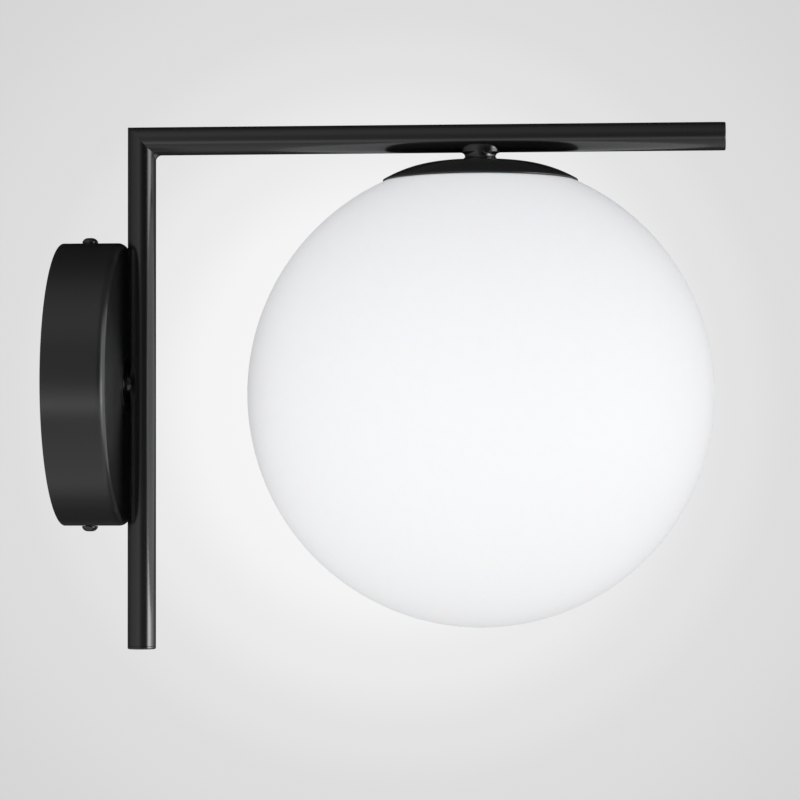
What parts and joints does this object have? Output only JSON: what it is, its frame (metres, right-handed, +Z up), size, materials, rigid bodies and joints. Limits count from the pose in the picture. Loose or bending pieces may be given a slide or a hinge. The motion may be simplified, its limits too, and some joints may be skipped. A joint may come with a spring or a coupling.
{
  "type": "globe wall sconce",
  "caption": "Wall light: opal glass globe clipped under a black tube arm that rises from a round wall canopy.",
  "frame": {"origin": "centre of the canopy on the wall plane, midway between the wall slots", "axes": "+X out from the wall along the arm, +Y along the wall, +Z up"},
  "size_m": [0.2851, 0.1998, 0.2255],
  "materials": {
    "black_metal": "semi-gloss black coat on spun and tubular steel",
    "opal_glass": "glossy opal white blown glass",
    "silicone": "soft translucent silicone",
    "zinc_steel": "bright zinc plate",
    "spring_steel": "bare spring steel",
    "tinned_copper": "tin plate",
    "brass": "plain machined brass",
    "clear_nylon": "natural nylon",
    "black_plastic": "moulded heat-proof plastic",
    "ceramic": "glazed ceramic",
    "brown_insulation": "brown insulation",
    "blue_insulation": "blue insulation",
    "earth_insulation": "green and yellow insulation",
    "black_glass": "black glass",
    "bulb_metal": "plain aluminium",
    "white_plastic": "white moulded plastic",
    "bulb_diffuser": "milky polycarbonate",
    "board": "white solder mask",
    "led_yellow": "yellow phosphor"
  },
  "bodies": {
    "frame": {"wall_bracket": "zinc_steel", "canopy": "black_metal", "bracket_earth_lug": "tinned_copper", "earth_washer": "zinc_steel", "earth_screw": "zinc_steel", "terminal_block": "clear_nylon", "terminal_inserts": "brass", "terminal_screws": "zinc_steel", "terminal_block_screw": "zinc_steel", "canopy_nipple": "zinc_steel", "stem_collar": "black_metal", "reinforcing_washer": "zinc_steel", "earth_tag": "tinned_copper", "toothed_washer": "zinc_steel", "canopy_nut": "zinc_steel", "nipple_bush": "clear_nylon", "vertical_tube": "black_metal", "horizontal_tube": "black_metal", "corner_weld": "black_metal", "riser_end_plug": "black_metal", "arm_end_plug": "black_metal", "neck": "black_metal", "holder_nipple": "zinc_steel", "glass_cap": "black_metal", "globe_gasket": "silicone", "globe_spring": "spring_steel", "cap_lock_washer": "zinc_steel", "cap_nut": "zinc_steel", "holder_cap": "black_plastic", "holder_grub_screw": "zinc_steel", "holder_skirt": "black_plastic", "holder_core": "ceramic", "holder_clamps": "brass", "holder_clamp_screws": "zinc_steel", "holder_shell": "brass", "holder_tongue": "brass", "holder_rivets": "brass", "live_wire": "brown_insulation", "neutral_wire": "blue_insulation", "bracket_earth_wire": "earth_insulation", "canopy_earth_wire": "earth_insulation"},
    "globe": {"globe": "opal_glass"},
    "bulb_lift": {"bulb_contact": "tinned_copper"},
    "bulb": {"bulb_insulator": "black_glass", "bulb_screw_cap": "bulb_metal", "bulb_housing": "white_plastic", "bulb_diffuser": "bulb_diffuser", "heat_plate": "bulb_metal", "led_board": "board", "led_chips": "led_yellow", "led_driver": "board"},
    "canopy_screw_top": {"canopy_screw_top": "black_metal"},
    "canopy_screw_bottom": {"canopy_screw_bottom": "black_metal"}
  },
  "joints": [
    {"name": "globe_pull", "type": "slide", "parent": "frame", "child": "globe", "axis": [0, 0, -1], "range_m": [0, 0.15], "deforming": ["globe_spring"]},
    {"name": "bulb_out", "type": "slide", "parent": "frame", "child": "bulb_lift", "axis": [0, 0, -1], "range_m": [0, 0.0109]},
    {"name": "bulb_turn", "type": "hinge", "parent": "bulb_lift", "child": "bulb", "pos_m": [0.18015, 0, 0], "axis": [0, 0, -1], "range_deg": [0, 1080]},
    {"name": "canopy_screw_top_turn", "type": "hinge", "parent": "frame", "child": "canopy_screw_top", "pos_m": [0.011, 0, 0.061], "axis": [0, 0, 1], "range_deg": [0, 1440]},
    {"name": "canopy_screw_bottom_turn", "type": "hinge", "parent": "frame", "child": "canopy_screw_bottom", "pos_m": [0.011, 0, -0.061], "axis": [0, 0, -1], "range_deg": [0, 1440]}
  ],
  "couplings": [
    {"joint": "bulb_out", "follows": "bulb_turn", "m_per_rad": 0.00057757}
  ]
}
